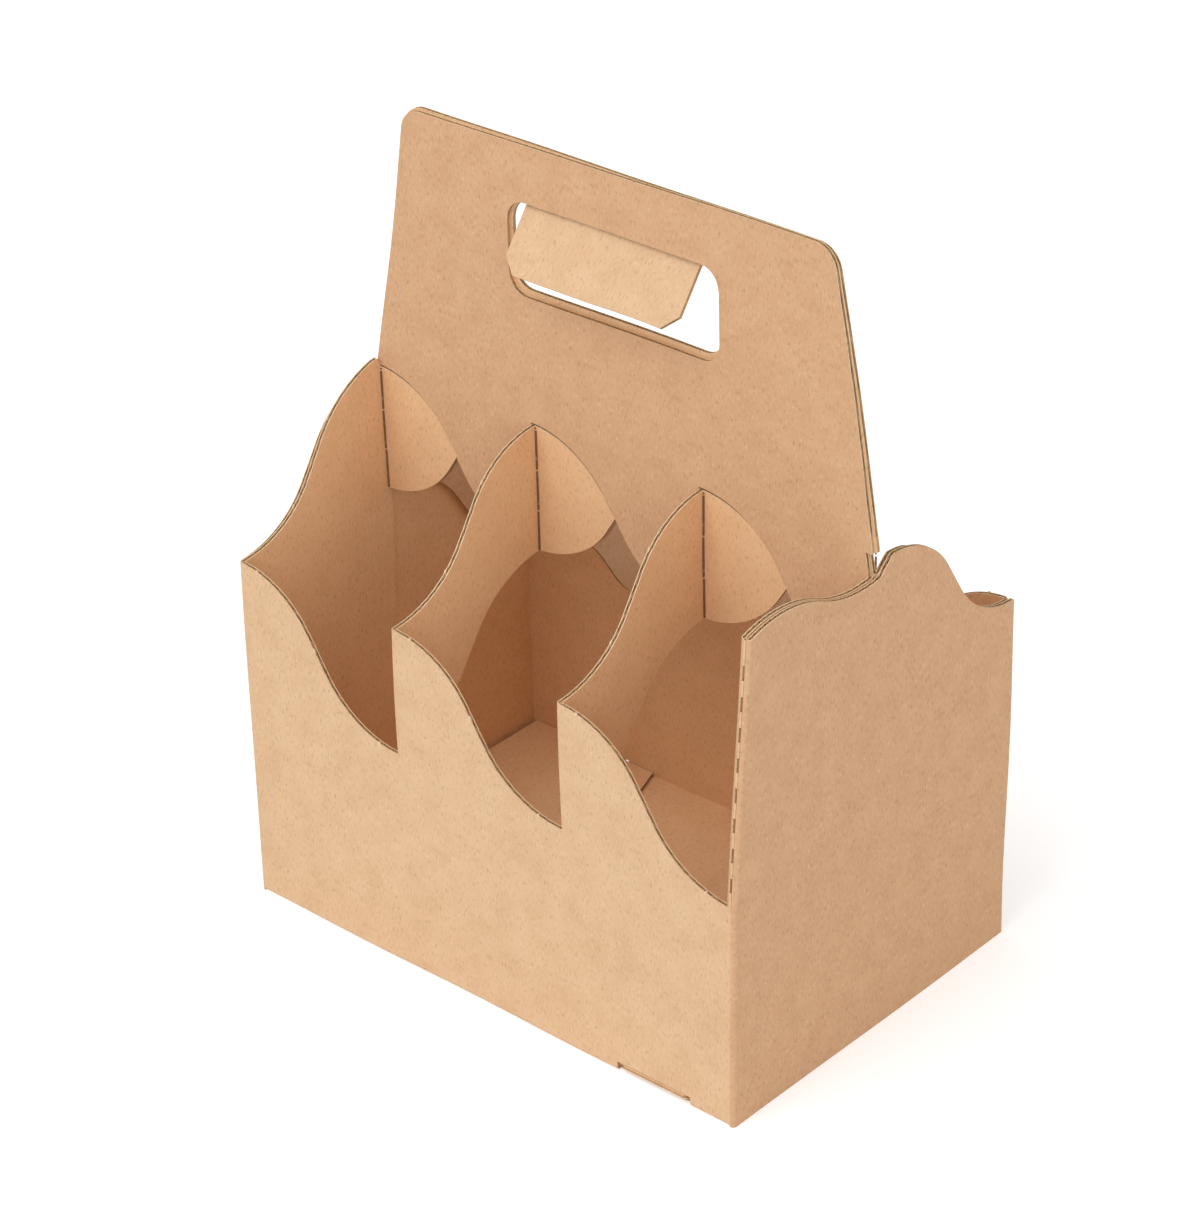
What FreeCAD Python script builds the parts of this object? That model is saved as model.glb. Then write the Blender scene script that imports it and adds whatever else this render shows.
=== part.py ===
import FreeCAD
import Part
import math
import os
import Sketcher

# Six-cell bottle carrier of thin corrugated board, in millimetres.
# It is glued up from two equal blanks, the back one turned half round about +Z.
# Each blank folds into one long wall, one outer end, a glue panel inside the other end,
# two cell dividers with glued tabs, one ply of the handle and one floor flap.
# Origin: centre of the base. +X runs along the handle, +Y to the back wall, +Z up.

doc = FreeCAD.newDocument("BottleCarrier")
sheet = doc.addObject("Spreadsheet::Sheet", "Sizes")

driving_sizes = [
    ("cell_pitch", 66.7, "square cell, from fold line to fold line"),
    ("board", 1.5, "thickness of the corrugated board"),
    ("fold_radius", 1.4, "outside radius of every fold"),
    ("ply_gap", 0.6, "air between an end and the ply folded flat inside it"),
    ("cut_gap", 0.3, "width of a die cut, and clearance between loose edges"),
    ("shoulder_height", 121.0, "walls at their high fold lines"),
    ("ogee_rise", 43.5, "height of one ogee, from its low to its high end"),
    ("ogee_straight", 13.5, "straight between the two arcs of an ogee"),
    ("end_peak_height", 162.6, "outer end beside the centre plane"),
    ("end_peak_offset", 5.8, "from the centre plane to the outer end's peak"),
    ("crest_height", 165.2, "hump on the end, in front of the handle"),
    ("crest_setback", 21.5, "hump's top from the wall's face"),
    ("saddle_offset", 7.0, "low point of the end from the centre plane"),
    ("wave_radius", 44.0, "both arcs of the hump and the low point"),
    ("fold_lean", 7.0, "how far the double fold leans back over its height"),
    ("handle_height", 255.5, "top edge of the handle above the base"),
    ("handle_inset", 18.0, "how far each upper corner of the handle stands in"),
    ("handle_corner", 8.0, "radius of the handle's upper corners"),
    ("hole_length", 82.0, "hand hole along the handle"),
    ("hole_drop", 30.5, "hand hole from its top to its bottom edge"),
    ("hole_margin", 18.7, "board above the hand hole"),
    ("hole_corner", 7.0, "radius of the hand hole's corners"),
    ("flap_length", 68.2, "hand hole flap along its fold"),
    ("flap_drop", 22.4, "hand hole flap from its fold to its free edge"),
    ("flap_corner", 5.0, "cut-off lower corners of the flap"),
    ("flap_angle", 36.0, "how far the flap stands forward of hanging, degrees"),
    ("slot_start", 54.7, "floor lock slot from the middle of the wall"),
    ("slot_length", 28.4, "floor lock slot along the wall's bottom fold"),
    ("slot_play", 1.5, "room at each end of a locking tongue"),
    ("tongue_shoulder", 12.5, "floor flap's edge beside its tongue"),
    ("floor_meeting", 4.0, "floor flap's short edge from the centre plane"),
    ("floor_lap", 9.0, "length over which a floor flap steps up"),
    ("floor_waist", 20.0, "long floor flap's inner edge at the centre plane"),
    ("slit_length", 5.0, "one slit of the perforated double fold"),
    ("slit_pitch", 10.0, "from slit to slit"),
    ("slit_width", 0.8, "width of a slit once the fold is closed"),
]

for row, (alias, value, note) in enumerate(driving_sizes, start=1):
    sheet.set(f"A{row}", alias)
    sheet.set(f"B{row}", str(value))
    sheet.set(f"C{row}", note)
    sheet.setAlias(f"B{row}", alias)
doc.recompute()


class Measure:
    # A length known both as a number and as the expression that binds it to the sheet.
    def __init__(self, value, text):
        self.value = value
        self.text = text

    @staticmethod
    def wrap(other):
        return other if isinstance(other, Measure) else Measure(float(other), f"{other}")

    def __add__(self, other):
        other = Measure.wrap(other)
        return Measure(self.value + other.value, f"({self.text} + {other.text})")

    def __sub__(self, other):
        other = Measure.wrap(other)
        return Measure(self.value - other.value, f"({self.text} - {other.text})")

    def __mul__(self, other):
        other = Measure.wrap(other)
        return Measure(self.value * other.value, f"({self.text} * {other.text})")

    __rmul__ = __mul__

    def __truediv__(self, other):
        return Measure(self.value / other.value, f"({self.text} / {other.text})")

    def __neg__(self):
        return Measure(-self.value, f"(0 - {self.text})")

    def root(self):
        return Measure(math.sqrt(self.value), f"sqrt({self.text})")


def size(alias):
    return Measure(float(sheet.get(alias)), f"Sizes.{alias}")


# Driving sizes as measures
pitch = size("cell_pitch")
board = size("board")
cut = size("cut_gap")
gap = size("ply_gap")
shoulder = size("shoulder_height")
rise = size("ogee_rise")
wave = size("wave_radius")
top = size("handle_height")

# Places that follow from them
base = Measure(0.0, "0")
half_width = 1.5 * pitch
half_depth = 1.0 * pitch
first_hinge = -(half_width - board)
inner_hinges = [-0.5 * pitch, 0.5 * pitch]
dip = shoulder - rise
apex = shoulder + rise
ply_right = half_width - board - gap
web_left = ply_right - board
handle_corner_x = half_width - size("handle_inset")
crest_y = size("crest_setback") - half_depth
crest_centre = size("crest_height") - wave
saddle_y = -size("saddle_offset")
lean = size("fold_lean")
front_top = lean - half_depth
hump_run = size("crest_setback") - lean
web_top = crest_centre + (wave * wave - hump_run * hump_run).root()
saddle_run = saddle_y - crest_y
saddle_centre = crest_centre + (4 * wave * wave - saddle_run * saddle_run).root()
saddle_end = saddle_centre - (wave * wave - saddle_y * saddle_y).root()
hole_top = top - size("hole_margin")
hole_bottom = hole_top - size("hole_drop")
flap_pivot_height = hole_top - cut - 0.5 * board
slot_end = size("slot_start") + size("slot_length")
floor_left = -(half_width - 2 * board - cut)
floor_right = half_width - board - cut


class Outline:
    # A closed outline in a sketch, drawn from point to point, each point bound to the sheet.
    def __init__(self, body, name, plane, offset):
        self.sketch = body.newObject("Sketcher::SketchObject", name)
        origin_planes = [part for part in body.Origin.OriginFeatures if part.Role == plane]
        self.sketch.AttachmentSupport = [(origin_planes[0], "")]
        self.sketch.MapMode = "FlatFace"
        self.sketch.setExpression("AttachmentOffset.Base.z", offset.text)

    def bind(self, kind, geometry, place, measure):
        index = self.sketch.addConstraint(
            Sketcher.Constraint(kind, -1, 1, geometry, place, measure.value))
        self.sketch.setExpression(f"Constraints[{index}]", measure.text)

    def pin(self, geometry, place, point):
        self.bind("DistanceX", geometry, place, point[0])
        self.bind("DistanceY", geometry, place, point[1])

    def add(self, shape, begins, ends):
        # Links the new segment's beginning to the end of the last one.
        index = self.sketch.addGeometry(shape, False)
        if self.tail is None:
            self.head = (index, begins)
            self.pin(index, begins, self.first)
        else:
            self.sketch.addConstraint(Sketcher.Constraint("Coincident", *self.tail, index, begins))
        self.tail = (index, ends)
        return index

    def start(self, x, y):
        self.first = self.at = (x, y)
        self.head = self.tail = None
        return self

    def line(self, x, y):
        segment = Part.LineSegment(
            FreeCAD.Vector(self.at[0].value, self.at[1].value, 0),
            FreeCAD.Vector(x.value, y.value, 0))
        index = self.add(segment, 1, 2)
        self.pin(index, 2, (x, y))
        self.at = (x, y)
        return self

    def arc(self, centre, begin, end, turns_left):
        # Arc between two numeric points. Its size is bound by the caller.
        radius = math.dist(centre, begin)
        angles = [math.atan2(point[1] - centre[1], point[0] - centre[0]) for point in (begin, end)]
        circle = Part.Circle(FreeCAD.Vector(*centre, 0), FreeCAD.Vector(0, 0, 1), radius)
        if turns_left:
            return Part.ArcOfCircle(circle, *angles), 1, 2
        return Part.ArcOfCircle(circle, *reversed(angles)), 2, 1

    def smooth(self, shape, begins, ends):
        # Adds a segment that leaves the last one along its tangent.
        index = self.sketch.addGeometry(shape, False)
        self.sketch.addConstraint(Sketcher.Constraint("Tangent", *self.tail, index, begins))
        self.tail = (index, ends)
        return index

    def ogee(self, x, y, level_start=True, level_end=True, closes=False):
        # Arc, straight, arc, level at both ends. Half an ogee stops at the straight's middle.
        start = (self.at[0].value, self.at[1].value)
        end = (x.value, y.value)
        run, climb = abs(end[0] - start[0]), abs(end[1] - start[1])
        side = math.copysign(1, end[0] - start[0])
        up = math.copysign(1, end[1] - start[1])
        turn = side * up > 0
        arcs = level_start + level_end
        straight = 0.5 * arcs * size("ogee_straight")
        radius = (run ** 2 + climb ** 2 - straight.value ** 2) / (2 * arcs * climb)
        reach = arcs * radius
        slope = math.atan2(climb - reach, run) + math.atan2(reach, straight.value)
        across = side * radius * math.sin(slope)
        along = up * radius * (1 - math.cos(slope))
        low, high = start, end
        if level_start:
            low = (start[0] + across, start[1] + along)
            first = self.add(*self.arc((start[0], start[1] + up * radius), start, low, turn))
            self.sketch.addConstraint(
                Sketcher.Constraint("Vertical", first, 1 if turn else 2, first, 3))
        if level_end:
            high = (end[0] - across, end[1] - along)
        segment = Part.LineSegment(FreeCAD.Vector(*low, 0), FreeCAD.Vector(*high, 0))
        index = (self.smooth if level_start else self.add)(segment, 1, 2)
        label = self.sketch.addConstraint(Sketcher.Constraint("Distance", index, straight.value))
        self.sketch.setExpression(f"Constraints[{label}]", straight.text)
        if level_end:
            last = self.smooth(*self.arc((end[0], end[1] - up * radius), high, end, not turn))
            self.sketch.addConstraint(Sketcher.Constraint("Vertical", last, self.tail[1], last, 3))
            if level_start:
                self.sketch.addConstraint(Sketcher.Constraint("Equal", first, last))
        if closes:
            self.sketch.addConstraint(Sketcher.Constraint("Coincident", *self.tail, *self.head))
        else:
            self.pin(*self.tail, (x, y))
        self.at = (x, y)
        return self

    def wave_to_front(self):
        # From the end of the low point at the centre plane, over the hump, to the double fold.
        low = (saddle_y.value, saddle_centre.value)
        high = (crest_y.value, crest_centre.value)
        middle = ((low[0] + high[0]) / 2, (low[1] + high[1]) / 2)
        begin = (0.0, saddle_end.value)
        end = (front_top.value, web_top.value)
        index = self.add(*self.arc(low, begin, middle, False))
        self.pin(index, 3, (saddle_y, saddle_centre))
        index = self.smooth(*self.arc(high, middle, end, True))
        self.bind("DistanceX", index, 3, crest_y)
        self.pin(*self.tail, (front_top, web_top))
        self.at = (front_top, web_top)
        return self

    def close(self):
        end = (self.at[0].value, self.at[1].value)
        begin = (self.first[0].value, self.first[1].value)
        segment = Part.LineSegment(FreeCAD.Vector(*end, 0), FreeCAD.Vector(*begin, 0))
        self.add(segment, 1, 2)
        self.sketch.addConstraint(Sketcher.Constraint("Coincident", *self.tail, *self.head))
        return self


def box_outline(outline, low, high):
    outline.start(low[0], low[1])
    outline.line(high[0], low[1])
    outline.line(high[0], high[1])
    outline.line(low[0], high[1])
    outline.close()


def pad(body, name, outline, length):
    outline.sketch.Visibility = False
    feature = body.newObject("PartDesign::Pad", name)
    feature.Profile = outline.sketch
    feature.setExpression("Length", length.text)
    return feature


def pocket(body, name, outline, depth):
    feature = body.newObject("PartDesign::Pocket", name)
    feature.Profile = outline.sketch
    feature.setExpression("Length", depth.text)
    return feature


def edges_on(shape, lines):
    # Names of the straight edges that lie on any of the lines, each a point and a direction.
    found = []
    for number, edge in enumerate(shape.Edges, start=1):
        ends = [vertex.Point for vertex in edge.Vertexes]
        if len(ends) != 2 or not isinstance(edge.Curve, (Part.Line, Part.LineSegment)):
            continue
        for point, direction in lines:
            if max(end.distanceToLine(point, direction) for end in ends) < 1e-4:
                found.append(f"Edge{number}")
                break
    return found


def rounding(body, name, lines, radius):
    doc.recompute()
    before = body.Tip
    feature = body.newObject("PartDesign::Fillet", name)
    feature.Base = (before, edges_on(before.Shape, lines))
    feature.setExpression("Radius", radius.text)
    return feature


def draw_wall(body):
    # Long wall: an ogee falls over each cell, and a narrow web leans back with the double fold.
    wall = Outline(body, "WallOutline", "XZ_Plane", half_depth - board)
    wall.start(first_hinge, base)
    wall.line(half_width, base)
    wall.line(half_width, dip)
    for hinge in reversed(inner_hinges):
        wall.ogee(hinge, shoulder)
        wall.line(hinge, dip)
    wall.ogee(first_hinge, shoulder)
    wall.close()
    pad(body, "Wall", wall, board)
    web = Outline(body, "WebOutline", "YZ_Plane", web_left)
    web.start(-half_depth, dip - board)
    web.line(board - half_depth, dip - board)
    web.line(board - half_depth, dip)
    web.line(board + front_top, web_top)
    web.line(front_top, web_top)
    web.line(-half_depth, dip)
    web.close()
    pad(body, "Web", web, half_width - web_left)


def draw_outer_end(body):
    # Outer end: ogee towards the far corner, low point and hump towards its own wall.
    end = Outline(body, "EndOutline", "YZ_Plane", half_width - board)
    end.start(-half_depth, base)
    end.line(half_depth, base)
    end.line(half_depth, shoulder)
    end.ogee(size("end_peak_offset"), size("end_peak_height"))
    end.line(base, saddle_end)
    end.wave_to_front()
    end.line(-half_depth, dip)
    end.close()
    pad(body, "OuterEnd", end, board)


def draw_inner_ply(body):
    # Inner ply of the end, folded flat behind the hump, which carries the handle.
    ply = Outline(body, "InnerPlyOutline", "YZ_Plane", web_left)
    ply.start(-half_depth, dip)
    ply.ogee(base, shoulder)
    ply.line(base, saddle_end)
    ply.wave_to_front()
    ply.close()
    pad(body, "InnerPly", ply, board)


def draw_dividers(body):
    # Dividers between the cells: one ogee band from the wall up to the handle.
    for number, hinge in enumerate(inner_hinges, start=1):
        divider = Outline(body, f"DividerOutline{number}", "YZ_Plane", hinge)
        divider.start(-half_depth, dip)
        divider.ogee(base, shoulder)
        divider.line(base, apex - 2 * cut)
        divider.ogee(-half_depth, shoulder)
        divider.close()
        pad(body, f"Divider{number}", divider, board)


def draw_glue_panel(body):
    # Glue panel inside the other blank's outer end, as high as a divider.
    panel = Outline(body, "GluePanelOutline", "YZ_Plane", first_hinge)
    panel.start(-half_depth, base)
    panel.line(base, base)
    panel.line(base, apex - 2 * cut)
    panel.ogee(-half_depth, shoulder)
    panel.close()
    pad(body, "GluePanel", panel, board)


def draw_tabs(body):
    # Tabs glued to the other ply of the handle, each half a cell long and pointed.
    for number, hinge in enumerate([first_hinge] + inner_hinges, start=1):
        tip_x = hinge + 0.5 * pitch
        tip_z = shoulder + 0.5 * rise - cut
        tab = Outline(body, f"TabOutline{number}", "XZ_Plane", base)
        tab.start(hinge, shoulder)
        tab.line(hinge, apex - 2 * cut)
        tab.ogee(tip_x, tip_z, level_end=False)
        tab.ogee(hinge, shoulder, level_start=False, closes=True)
        pad(body, f"Tab{number}", tab, board)


def draw_handle_ply(body):
    # One ply of the handle: tapered above, with an ogee over each cell below.
    ply = Outline(body, "HandlePlyOutline", "XZ_Plane", base)
    ply.start(first_hinge, apex)
    ply.line(-handle_corner_x, top)
    ply.line(handle_corner_x, top)
    ply.line(ply_right, apex)
    ply.line(ply_right, shoulder)
    for hinge in reversed(inner_hinges):
        ply.ogee(hinge, apex)
        ply.line(hinge - cut, apex)
        ply.line(hinge - cut, shoulder)
    ply.ogee(first_hinge, apex, closes=True)
    pad(body, "HandlePly", ply, board)
    hole = Outline(body, "HandHoleOutline", "XZ_Plane", board)
    half_hole = 0.5 * size("hole_length")
    box_outline(hole, (-half_hole, hole_bottom), (half_hole, hole_top))
    pocket(body, "HandHole", hole, board)


def draw_floor(body):
    # Floor flap: flat to the middle, then one long half steps up over the other flap
    # and ends in a tongue that goes through the other wall's lock slot.
    meeting = size("floor_meeting")
    lower = Outline(body, "FloorOutline", "XY_Plane", base)
    lower.start(floor_left, -half_depth)
    lower.line(floor_right, -half_depth)
    lower.line(floor_right, -(meeting + cut))
    lower.line(-cut, -(meeting + cut))
    lower.line(-cut, meeting - cut)
    lower.line(floor_left, meeting - cut)
    lower.close()
    pad(body, "FloorFlap", lower, board)
    back_edge = half_depth - board - cut
    tongue_left = -(slot_end - size("slot_play"))
    tongue_right = -(size("slot_start") + size("slot_play"))
    corner = tongue_right + size("tongue_shoulder")
    upper = Outline(body, "LongFlapOutline", "XY_Plane", board)
    upper.start(floor_left, meeting - size("floor_lap"))
    upper.line(-size("floor_waist"), meeting - size("floor_lap"))
    upper.line(corner, back_edge)
    upper.line(tongue_right, back_edge)
    upper.line(tongue_right, half_depth)
    upper.line(tongue_left, half_depth)
    upper.line(tongue_left, back_edge)
    upper.line(floor_left, back_edge)
    upper.close()
    pad(body, "LongFlap", upper, board)
    slot = Outline(body, "LockSlotOutline", "XZ_Plane", half_depth)
    box_outline(slot, (size("slot_start"), base), (slot_end, 2 * board + cut))
    pocket(body, "LockSlot", slot, board + cut)


def cut_perforation(body):
    # Slits along the double fold, so that the thick board turns right back on itself.
    doc.recompute()
    length, step = size("slit_length"), size("slit_pitch")
    middle = half_width - board - 0.5 * gap
    half_slit = 0.5 * size("slit_width")
    setback = lean / (web_top - dip)
    count = int((web_top.value - dip.value - length.value) // step.value)
    for number in range(count):
        rise_to_slit = step * (number + 0.5)
        low = dip + rise_to_slit
        face = half_depth - setback * rise_to_slit
        slit = Outline(body, f"SlitOutline{number + 1}", "XZ_Plane", face)
        box_outline(slit, (middle - half_slit, low), (middle + half_slit, low + length))
        pocket(body, f"Slit{number + 1}", slit, board + setback * length)


def round_folds(body):
    place = FreeCAD.Vector
    depth = half_depth.value
    up, through = place(0, 0, 1), place(0, 1, 0)
    upright_folds = [(place(half_width.value, -depth, 0), up), (place(ply_right.value, 0, 0), up)]
    for hinge in [first_hinge] + inner_hinges:
        upright_folds += [(place(hinge.value, -depth, 0), up), (place(hinge.value, 0, 0), up)]
    # The double fold's outer edge stays a sharp crease: it leans away from the fold below it.
    leaning = place(0, lean.value, (web_top - dip).value)
    inner_crease = (place(web_left.value, -depth, dip.value), leaning)
    rounding(body, "Folds", upright_folds + [inner_crease], size("fold_radius"))
    handle_corners = [(place(side * handle_corner_x.value, 0, top.value), through)
                      for side in (-1, 1)]
    rounding(body, "HandleCorners", handle_corners, size("handle_corner"))
    half_hole = 0.5 * size("hole_length").value
    hole_corners = [(place(side * half_hole, 0, height.value), through)
                    for side in (-1, 1) for height in (hole_bottom, hole_top)]
    rounding(body, "HoleCorners", hole_corners, size("hole_corner"))


def make_blank(name, turn):
    body = doc.addObject("PartDesign::Body", name)
    body.Label = name
    draw_wall(body)
    draw_outer_end(body)
    draw_inner_ply(body)
    draw_dividers(body)
    draw_glue_panel(body)
    draw_tabs(body)
    draw_handle_ply(body)
    draw_floor(body)
    round_folds(body)
    cut_perforation(body)
    doc.recompute()
    body.Placement = FreeCAD.Placement(
        FreeCAD.Vector(0, 0, 0), FreeCAD.Rotation(FreeCAD.Vector(0, 0, 1), turn))
    return body


def make_flap():
    # Flap of the hand hole, folded out of the back ply. Its fold line is its own origin,
    # and it is turned forward about that line.
    body = doc.addObject("PartDesign::Body", "handle_flap")
    body.Label = "handle_flap"
    half_board = 0.5 * board
    half_length = 0.5 * size("flap_length")
    corner = size("flap_corner")
    lower_edge = -(size("flap_drop") - half_board)
    sheet_outline = Outline(body, "FlapOutline", "XZ_Plane", -half_board)
    sheet_outline.start(-half_length, base)
    sheet_outline.line(-half_length, lower_edge + corner)
    sheet_outline.line(corner - half_length, lower_edge)
    sheet_outline.line(half_length - corner, lower_edge)
    sheet_outline.line(half_length, lower_edge + corner)
    sheet_outline.line(half_length, base)
    sheet_outline.close()
    pad(body, "FlapSheet", sheet_outline, board)
    # Rounded root, so that the flap clears the ply above at every angle
    root = Outline(body, "RootOutline", "YZ_Plane", -half_length)
    circle = Part.Circle(FreeCAD.Vector(0, 0, 0), FreeCAD.Vector(0, 0, 1), half_board.value)
    index = root.sketch.addGeometry(circle, False)
    root.sketch.addConstraint(Sketcher.Constraint("Coincident", -1, 1, index, 3))
    label = root.sketch.addConstraint(Sketcher.Constraint("Radius", index, half_board.value))
    root.sketch.setExpression(f"Constraints[{label}]", half_board.text)
    pad(body, "FlapRoot", root, size("flap_length"))
    doc.recompute()
    forward = FreeCAD.Rotation(FreeCAD.Vector(-1, 0, 0), size("flap_angle").value)
    body.Placement = FreeCAD.Placement(
        FreeCAD.Vector(0, half_board.value, flap_pivot_height.value), forward)
    return body


sub_parts = [make_blank("front_blank", 0), make_blank("back_blank", 180), make_flap()]
doc.recompute()

for item in doc.Objects:
    if "Invalid" in item.State or "Error" in item.State:
        raise RuntimeError(f"{item.Name} did not build: {item.State}")
for body in sub_parts:
    shape = body.Shape
    if shape.isNull() or not shape.isValid():
        raise RuntimeError(f"{body.Label} has no valid shape")

os.makedirs("parts", exist_ok=True)
for body in sub_parts:
    body.Shape.exportStep(f"parts/{body.Label}.step")
    print(body.Label, "solids", len(body.Shape.Solids), "volume", round(body.Shape.Volume, 1))
print("hinge of the flap at y", 0.5 * board.value, "z", flap_pivot_height.value)
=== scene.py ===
import math
import bpy
import numpy as np
from mathutils import Matrix, Vector


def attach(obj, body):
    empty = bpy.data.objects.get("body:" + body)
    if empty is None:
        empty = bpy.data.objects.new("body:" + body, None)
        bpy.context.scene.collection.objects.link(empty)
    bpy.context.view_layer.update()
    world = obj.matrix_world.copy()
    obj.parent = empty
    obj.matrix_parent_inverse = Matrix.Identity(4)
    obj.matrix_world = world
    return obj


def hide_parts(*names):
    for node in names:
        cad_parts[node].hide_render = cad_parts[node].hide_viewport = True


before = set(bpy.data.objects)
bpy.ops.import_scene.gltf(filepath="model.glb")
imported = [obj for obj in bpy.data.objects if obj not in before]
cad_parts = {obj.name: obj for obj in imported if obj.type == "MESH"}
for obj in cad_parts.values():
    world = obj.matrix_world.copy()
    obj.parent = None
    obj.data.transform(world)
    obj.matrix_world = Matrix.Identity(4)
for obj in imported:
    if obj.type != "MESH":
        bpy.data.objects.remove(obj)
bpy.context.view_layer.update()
print("frame loaded:", sorted(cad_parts))

# Lengths below are in millimetres; toMetres turns them when a mesh is filled.
toMetres = 0.001

boardSizes = {
    "thickness": 1.5,       # E-flute board, pressed a little at its folds
    "liner": 0.3,           # each outer paper
    "medium": 0.22,         # the fluted paper between them
    "flutePitch": 3.4,      # one wave of the fluted paper
    "recess": 0.1,          # how far the knife drags the fluted paper in at a cut
    "fold": 0.65,           # bend radius at the middle of the board
    "bandDepth": 4.0,       # how deep the flutes are made behind a cut edge
    "rowHeight": 14.0,      # spacing of the rows that let a panel bend
    "ribWidth": 0.8,        # closing rib behind a cut that runs along the flutes
    "sliver": 0.05,         # least height of a panel that runs out to a point
}

blankSizes = {
    "pitch": 66.7, "shoulder": 121.0, "rise": 43.5, "straight": 13.5,
    "halfWidth": 100.05, "halfDepth": 66.7, "gap": 0.6, "cut": 0.3,
    "endPeak": 162.6, "endPeakOffset": 5.8,
    "crest": 165.2, "crestSetback": 21.5, "saddleOffset": 7.0, "waveRadius": 44.0,
    "lean": 7.0,
    "handleTop": 255.5, "handleInset": 18.0, "handleCorner": 8.0, "handleTilt": 0.0065,
    "holeHalf": 41.0, "holeLow": 206.3, "holeHigh": 236.8, "holeCorner": 7.0,
    "backHoleSide": 1.0, "backHoleLift": 2.0,      # the back ply's hole is cut a little small
    "slotStart": 54.7, "slotEnd": 83.1, "slotTop": 3.3, "slotPlay": 1.5,
    "slitLength": 4.8, "slitPitch": 9.7, "slitWidth": 0.55,
    "panelSwell": 3.2, "panelSwellFrom": 45.0, "panelSwellRun": 40.0, "panelTrim": 0.4,
    "endDrop": 1.0, "endShort": 2.6,        # the back blank's outer end, beside the panel
    "tongueTaper": 1.2, "tongueStraight": 0.8,
    "floorMeeting": 4.0, "floorLap": 9.0, "floorWaist": 20.0, "tongueShoulder": 12.5,
}
half = 0.5 * boardSizes["thickness"]
pitch = blankSizes["pitch"]
shoulder = blankSizes["shoulder"]
rise = blankSizes["rise"]
halfWidth = blankSizes["halfWidth"]
halfDepth = blankSizes["halfDepth"]
cut = blankSizes["cut"]
dip = shoulder - rise
apex = shoulder + rise
firstHinge = -(halfWidth - 2 * half)
hinges = [firstHinge, -0.5 * pitch, 0.5 * pitch]
plyRight = halfWidth - 2 * half - blankSizes["gap"]
crestY = blankSizes["crestSetback"] - halfDepth
crestCentre = blankSizes["crest"] - blankSizes["waveRadius"]
saddleY = -blankSizes["saddleOffset"]
saddleCentre = crestCentre + math.sqrt(4 * blankSizes["waveRadius"] ** 2 - (saddleY - crestY) ** 2)
saddleEnd = saddleCentre - math.sqrt(blankSizes["waveRadius"] ** 2 - saddleY ** 2)
webTop = crestCentre + math.sqrt(
    blankSizes["waveRadius"] ** 2 - (blankSizes["crestSetback"] - blankSizes["lean"]) ** 2)


def ogee(along, run, climb):
    # Arc, straight, arc, level at both ends: height climbed at a distance along the run.
    straight = blankSizes["straight"]
    radius = (run ** 2 + climb ** 2 - straight ** 2) / (4 * climb)
    slope = math.atan2(climb - 2 * radius, run) + math.atan2(2 * radius, straight)
    reach = radius * math.sin(slope)
    along = np.clip(np.asarray(along, dtype=float), 0, run)
    low = radius - np.sqrt(radius ** 2 - np.minimum(along, reach) ** 2)
    high = climb - radius + np.sqrt(radius ** 2 - np.minimum(run - along, reach) ** 2)
    middle = radius * (1 - math.cos(slope)) + (along - reach) * math.tan(slope)
    return np.where(along < reach, low, np.where(along > run - reach, high, middle))


def endOutline(y):
    # Top of the outer end: ogee to a peak, short fall to the handle, low point, hump.
    peakY = blankSizes["endPeakOffset"]
    peak = blankSizes["endPeak"]
    radius = blankSizes["waveRadius"]
    far = shoulder + ogee(halfDepth - y, halfDepth - peakY, peak - shoulder)
    near = saddleEnd + (peak - saddleEnd) * np.clip(y / peakY, 0, 1)
    reachLow = np.clip(y - saddleY, -radius, radius)
    saddle = saddleCentre - np.sqrt(radius ** 2 - reachLow ** 2)
    reachHigh = np.clip(y - crestY, -radius, radius)
    crest = crestCentre + np.sqrt(radius ** 2 - reachHigh ** 2)
    wave = np.where(y < 0.5 * (saddleY + crestY), crest, saddle)
    return np.where(y >= peakY, far, np.where(y >= 0, near, wave))


def handleEdge(x):
    # Slanted sides and level top of the handle, joined by an arc on each side.
    radius = blankSizes["handleCorner"]
    top = blankSizes["handleTop"]
    centreZ = top - radius
    height = np.full(np.shape(x), top)
    for foot, head in ((firstHinge, -1), (plyRight, 1)):
        headX = head * (halfWidth - blankSizes["handleInset"])
        run, climb = abs(headX - foot), top - apex
        length = math.hypot(run, climb)
        inward = np.asarray((x - foot) * -head)
        centre = (radius + run / length * (centreZ - apex)) * length / climb
        touch = centre - radius * climb / length
        line = apex + inward * climb / run
        arc = centreZ + np.sqrt(np.clip(radius ** 2 - (inward - centre) ** 2, 0, None))
        edge = np.where(inward < touch, line, np.where(inward < centre, arc, top))
        height = np.minimum(height, edge)
    tilt = blankSizes["handleTilt"] * np.clip(34 - x, 0, None)
    return height - tilt * (height - apex) / (top - apex)


def holeEdge(x, side):
    # Upper (side 1) or lower (side -1) edge of the hand hole, rounded at its corners.
    radius = blankSizes["holeCorner"]
    over = np.clip(np.abs(x) - (blankSizes["holeHalf"] - radius), 0, radius)
    bend = radius - np.sqrt(radius ** 2 - over ** 2)
    level = blankSizes["holeHigh"] if side > 0 else blankSizes["holeLow"]
    return level - side * bend


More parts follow.
